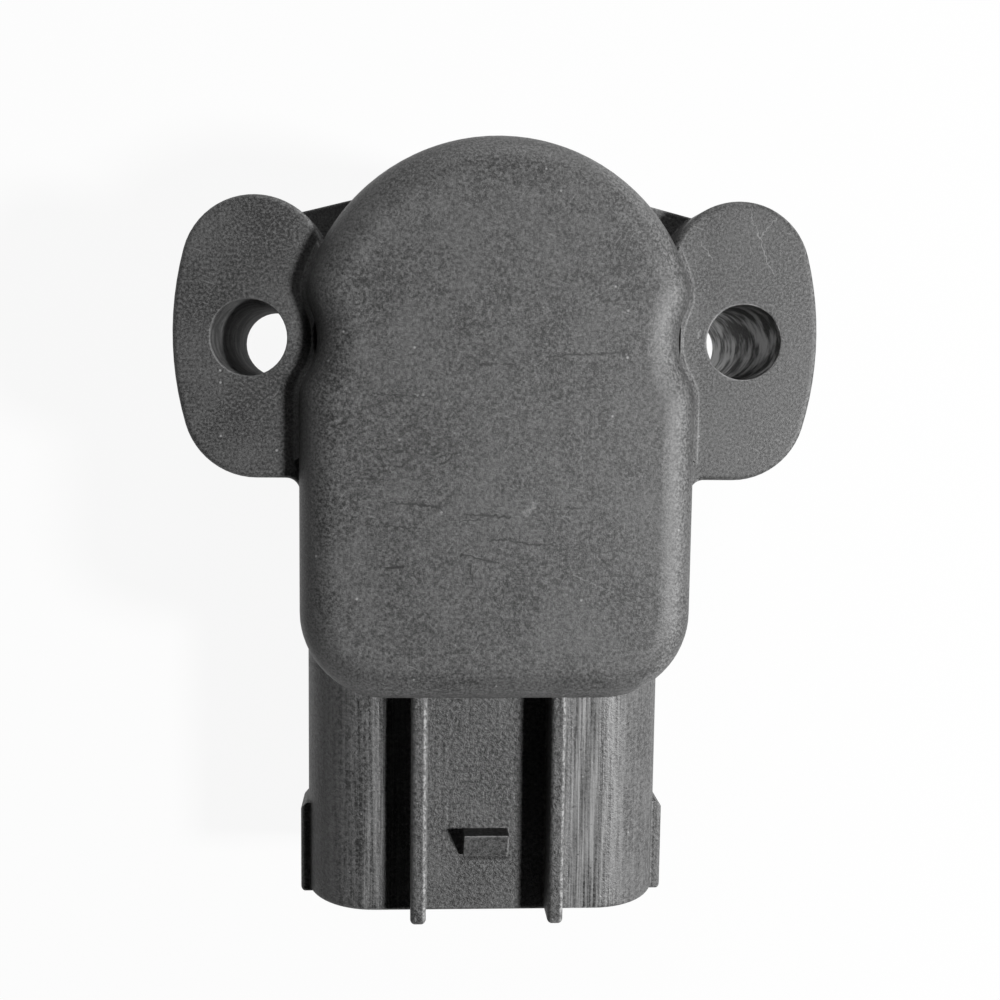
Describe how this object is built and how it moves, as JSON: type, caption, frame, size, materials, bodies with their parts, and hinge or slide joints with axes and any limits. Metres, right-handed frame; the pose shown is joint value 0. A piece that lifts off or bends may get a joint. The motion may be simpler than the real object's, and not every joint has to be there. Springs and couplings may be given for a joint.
{
  "type": "throttle position sensor",
  "caption": "Rotary throttle position sensor: domed moulded housing with tall screw ears, plug shroud, and a sprung rotor that turns with the throttle shaft.",
  "frame": {"origin": "on the rotor's axis, in the mounting face of the ears", "axes": "+Z away from the throttle body along the rotor's axis, plug socket towards -Y, screw holes on the X axis"},
  "size_m": [0.047, 0.0608, 0.0259],
  "materials": {
    "housing_plastic": "spark-eroded, rubbed",
    "cover_plastic": "moulded",
    "seal_rubber": "matt",
    "rotor_plastic": "moulded",
    "spring_steel": "drawn wire",
    "wiper_alloy": "stamped",
    "board_ceramic": "fired, printed",
    "terminal_tin": "tin-plated",
    "solder": "soft bright"
  },
  "bodies": {
    "sensor_body": {"housing": "housing_plastic", "base_cover": "cover_plastic", "mounting_seal": "seal_rubber", "return_spring": "spring_steel", "resistor_board": "board_ceramic", "terminal_supply": "terminal_tin", "terminal_signal": "terminal_tin", "terminal_ground": "terminal_tin", "solder_joints": "solder"},
    "rotor_assembly": {"rotor": "rotor_plastic", "wiper": "wiper_alloy"}
  },
  "joints": [
    {"name": "rotor_turn", "type": "hinge", "parent": "sensor_body", "child": "rotor_assembly", "pos_m": [0, 0, 0], "axis": [0, 0, 1], "range_deg": [0, 95], "stiffness_Nm_per_rad": 0.0086, "springref_deg": -34.38, "deforming": ["return_spring"]}
  ]
}
